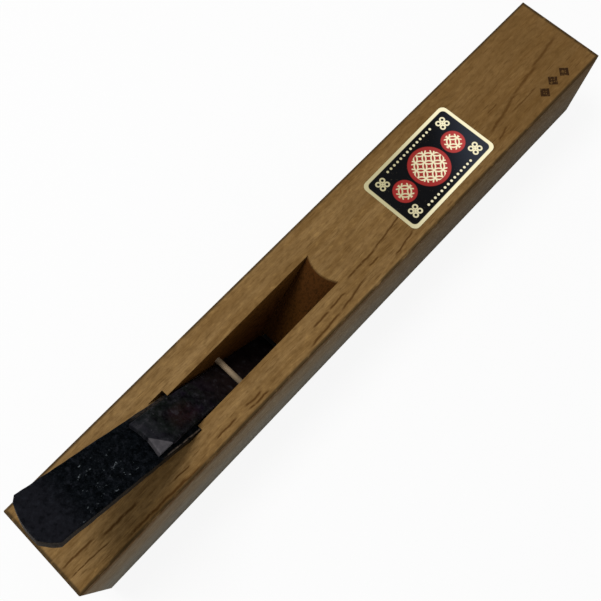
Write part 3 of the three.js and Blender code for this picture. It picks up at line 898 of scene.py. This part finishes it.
def blade_finish():
    """Black forged iron with rubbed long edges, rusty sides and a paler struck head."""
    material, tree, shader = finish_of("black_forged_iron")
    place = on_piece(tree, blade_place)
    x, y, z = split(tree, place)
    rubbed = product(tree, band(tree, x, *rubbed_x), band(tree, y, *rubbed_y))
    rubbed_right = product(tree, band(tree, x, *rubbed_right_x), fade(tree, y, *rubbed_right_y))
    most_rubbed = reckon(tree, "MAXIMUM", rubbed, rubbed_right)
    old = use_group(tree, forge_scale, {
        "Vector": place, "Dark": scale_black, "Pale": scale_pale, "Speck": scale_speck,
        "Specks": reckon(tree, "MULTIPLY_ADD", most_rubbed, 0.11, 0.105),
    })
    colour = tint(tree, old["Color"], head_grey, fade(tree, x, *head_paling), 0.6)
    stained = cloudy(tree, place, scale=0.5, detail=3, roughness=0.65)
    colour = tint(tree, colour, scale_black, fade(tree, stained, 0.5, 0.33), 0.5)
    colour = tint(tree, colour, stain_pale, fade(tree, stained, 0.52, 0.7), 0.4)

    slope = (blade_head_half_width - blade_foot_half_width) / blade_length
    half_width = reckon(tree, "MULTIPLY_ADD", x, -slope, blade_foot_half_width)
    from_left = reckon(tree, "SUBTRACT", half_width, y)
    from_right = reckon(tree, "ADD", half_width, y)
    left_strip = product(tree, band(tree, from_left, *left_strip_y), band(tree, x, *left_strip_x), 0.3)
    right_strip = product(tree, band(tree, from_right, *right_strip_y), band(tree, x, *right_strip_x))
    uneven = fade(tree, cloudy(tree, stretched(tree, place, (0.5, 1.5, 1.5)), detail=3), 0.3, 0.6)
    on_face = fade(tree, z, *face_skin)
    strip = product(tree, reckon(tree, "MAXIMUM", left_strip, right_strip), on_face, uneven)
    colour = tint(tree, colour, strip_brown, strip, 0.8)

    rusty = over(tree, fade(tree, stained, 0.35, 0.65), rust_dark, rust_brown)
    rusted = fade(tree, cloudy(tree, place, scale=1.3, detail=4, roughness=0.7), 0.52, 0.68)
    rusty = tint(tree, rusty, rust_red, rusted, 0.5)
    colour = tint(tree, colour, rusty, fade(tree, z, *below_face), 0.85)
    rough = reckon(tree, "MULTIPLY_ADD", strip, -0.1, old["Roughness"])
    bared = reckon(tree, "MAXIMUM", strip, old["Bared"])
    metal = reckon(tree, "MULTIPLY_ADD", bared, 0.5, 0.05)
    feed(tree, shader, old["Height"], 0.00012, Base_Color=colour, Roughness=rough, Metallic=metal)
    shader.inputs["Specular IOR Level"].default_value = 0.008
    return material


blade.data.materials.clear()
blade.data.materials.append(blade_finish())
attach(blade, "blade")
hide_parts("blade_body")

steel_grey = dye("6f7276")
steel_pale = dye("a3a6a8")
steel_stain = dye("4b4038")


def edge_steel_finish():
    """Hard steel, stoned to a fine grey with scratches along the blade."""
    material, tree, shader = finish_of("stoned_steel")
    place = on_piece(tree, blade_place)
    scratches = cloudy(tree, stretched(tree, place, (0.15, 6, 6)), detail=4, roughness=0.7)
    stain = fade(tree, cloudy(tree, place, scale=0.25, detail=3), 0.5, 0.75)
    colour = over(tree, scratches, steel_grey, steel_pale)
    colour = tint(tree, colour, steel_stain, stain, 0.5)
    rough = reckon(tree, "MULTIPLY_ADD", scratches, 0.15, 0.2)
    rough = reckon(tree, "MULTIPLY_ADD", stain, 0.2, rough)
    metal = reckon(tree, "MULTIPLY_ADD", stain, -0.3, 1)
    feed(tree, shader, scratches, 0.00002, Base_Color=colour, Roughness=rough, Metallic=metal)
    return material


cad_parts["blade_steel"].data.materials[0] = edge_steel_finish()


# The chipbreaker (uragane)
# A thinner iron of the same make, laid on the blade's face. Its hammered head has two ears that
# are turned down onto the blade, and the right ear's facet is painted bright as a painted highlight.
chip_length = 78.3
chip_setback = 1
chip_offset = -0.08
chip_gap = 0.25
ear_drop = 1.35
chip_lift = math.atan2(ear_drop, chip_length)
facet_along = 5.9
ear_across = 6.2
ear_meeting = -0.8
ear_highlight_edge = (-0.1, 0.3)
bloom_x = (-66, -60, -56, -50)
bloom_y = (-7, -3, 1, 4)
chip_head_paling = (-69, -75)
in_throat_painted_shade = (-56, -34)
chip_black = dye("020203")
chip_pale = dye("212124")
chip_speck = dye("4a494b")
chip_green = dye("111712")
chip_violet = dye("17111c")
bloom_red = dye("220f0e")
chip_head_grey = dye("222327")
throat_shade_brown = dye("1a1211")
chip_stain_dark = dye("030304")
chip_stain_pale = dye("343236")
ear_highlight_grey = dye("454346")
ear_highlight_pale = dye("524f52")

chip_seat = Matrix.Translation((blade_edge_x - chip_setback, chip_offset, chip_gap))
chip_place = blade_place @ chip_seat @ Matrix.Rotation(chip_lift, 4, "Y")
chip = forged_copy(
    "chipbreaker_body", "forged_chipbreaker", chip_place, rounding=0.15, head=(-40, -52),
    cuts=((-40, -78, 50), (-7.6, 7.6, 20), (0, 2, 3)), dent=0.22)


def chip_finish(name):
    """Grey-brown old iron with painted shade down in the throat, a reddish bloom and a painted
    highlight on the right ear.
    """
    material, tree, shader = finish_of(name)
    place = on_piece(tree, chip_place)
    x, y, _ = split(tree, place)
    old = use_group(tree, forge_scale, {
        "Vector": place, "Dark": chip_black, "Pale": chip_pale, "Speck": chip_speck, "Specks": 0.17,
    })
    hue = cloudy(tree, stretched(tree, place, (0.2, 0.2, 0.2), (7, 3, 1)), detail=2)
    colour = tint(tree, old["Color"], chip_green, fade(tree, hue, 0.5, 0.62), 0.5)
    colour = tint(tree, colour, chip_violet, fade(tree, hue, 0.48, 0.36), 0.5)
    bloom = band(tree, reckon(tree, "ADD", x, product(tree, hue, 6)), *bloom_x)
    bloom = product(tree, bloom, band(tree, y, *bloom_y))
    colour = tint(tree, colour, bloom_red, bloom, 0.45)
    colour = tint(tree, colour, chip_head_grey, fade(tree, x, *chip_head_paling), 0.5)
    # Painted shade: the chipbreaker is painted darker where it goes down into the throat.
    colour = tint(tree, colour, throat_shade_brown, fade(tree, x, *in_throat_painted_shade), 0.85)
    stained = cloudy(tree, place, scale=0.36, detail=3, roughness=0.6)
    colour = tint(tree, colour, chip_stain_dark, fade(tree, stained, 0.48, 0.33), 0.6)
    colour = tint(tree, colour, chip_stain_pale, fade(tree, stained, 0.54, 0.7), 0.5)

    # Painted highlight: the right ear's turned-down facet is painted pale grey, as light catching it.
    from_meeting = reckon(tree, "SUBTRACT", ear_meeting, y)
    fold = product(tree, from_meeting, facet_along / ear_across)
    past_fold = reckon(tree, "SUBTRACT", fold, reckon(tree, "ADD", x, chip_length))
    ear_painted_highlight = fade(tree, past_fold, *ear_highlight_edge)
    ear_highlight_colour = over(tree, fade(tree, stained, 0.4, 0.62), ear_highlight_grey, ear_highlight_pale)
    colour = tint(tree, colour, ear_highlight_colour, ear_painted_highlight, 0.88)
    rough = reckon(tree, "MULTIPLY_ADD", ear_painted_highlight, -0.1, old["Roughness"])
    feed(tree, shader, old["Height"], 0.0001, Base_Color=colour, Roughness=rough)
    shader.inputs["Metallic"].default_value = 0.06
    shader.inputs["Specular IOR Level"].default_value = 0.01
    return material


chip.data.materials.clear()
chip.data.materials.append(chip_finish("aged_iron"))
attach(chip, "chipbreaker")
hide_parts("chipbreaker_body")
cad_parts["chipbreaker_steel"].data.materials[0] = chip_finish("dark_edge_steel")
